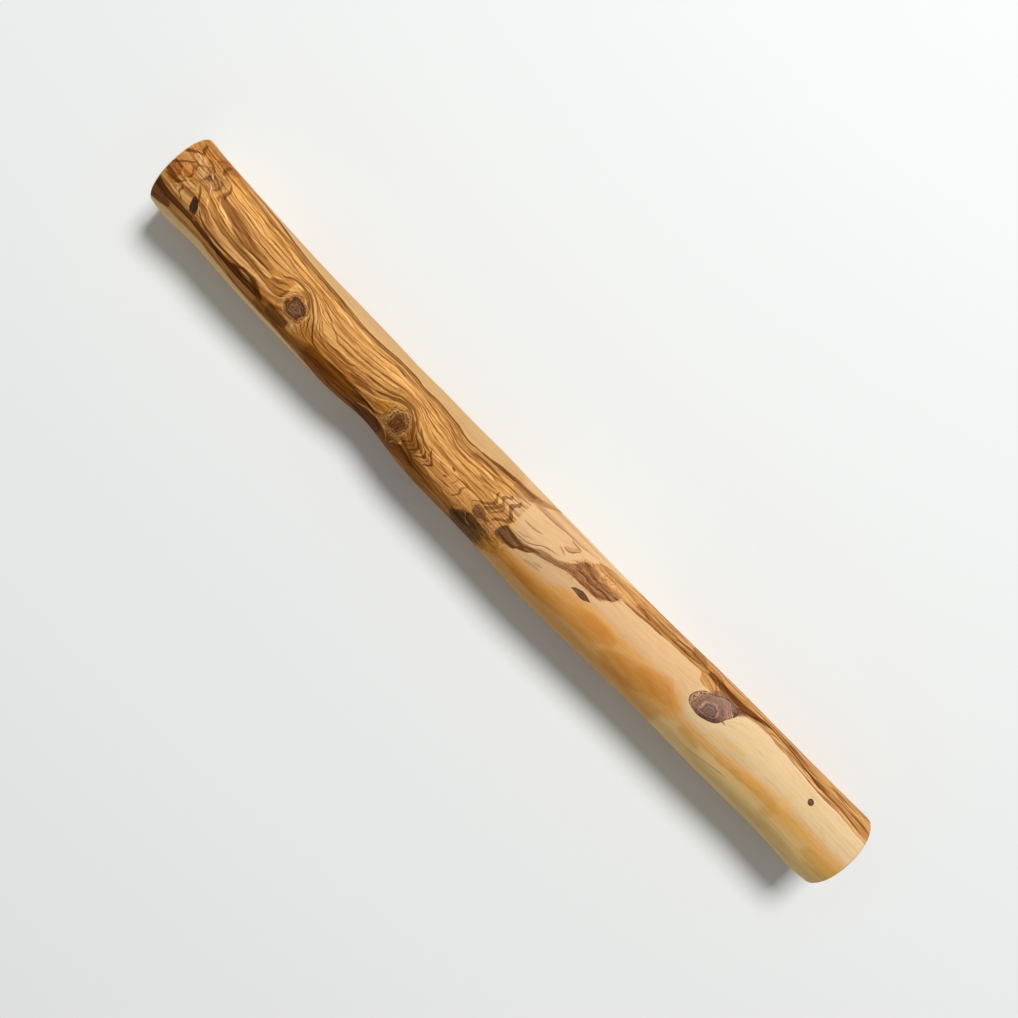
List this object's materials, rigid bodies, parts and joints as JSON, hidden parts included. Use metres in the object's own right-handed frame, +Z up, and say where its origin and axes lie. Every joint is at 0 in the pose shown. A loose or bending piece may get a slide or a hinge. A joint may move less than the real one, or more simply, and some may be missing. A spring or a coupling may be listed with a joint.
{
  "type": "french rolling pin",
  "caption": "One-piece French rolling pin of olive wood: a long, slightly bowed stick with flat, eased ends, lively grain and dark knots, rolled under both palms.",
  "frame": {"origin": "on the table under the middle of the pin's box, with the pin lying on its underside", "axes": "+X along the pin towards its thicker end, +Y to the hollow side of its bow, +Z up"},
  "size_m": [0.48, 0.05, 0.045],
  "materials": {
    "olive_wood": "sanded smooth and oiled, satin",
    "knot_wood": "dense dark branch wood, sanded and oiled",
    "bark": "dry dark bark, matt"
  },
  "bodies": {
    "root": {"pin_body": "olive_wood", "encased_knot": "knot_wood", "diamond_knot": "knot_wood", "small_knot": "knot_wood", "bark_pocket": "bark"}
  },
  "joints": []
}
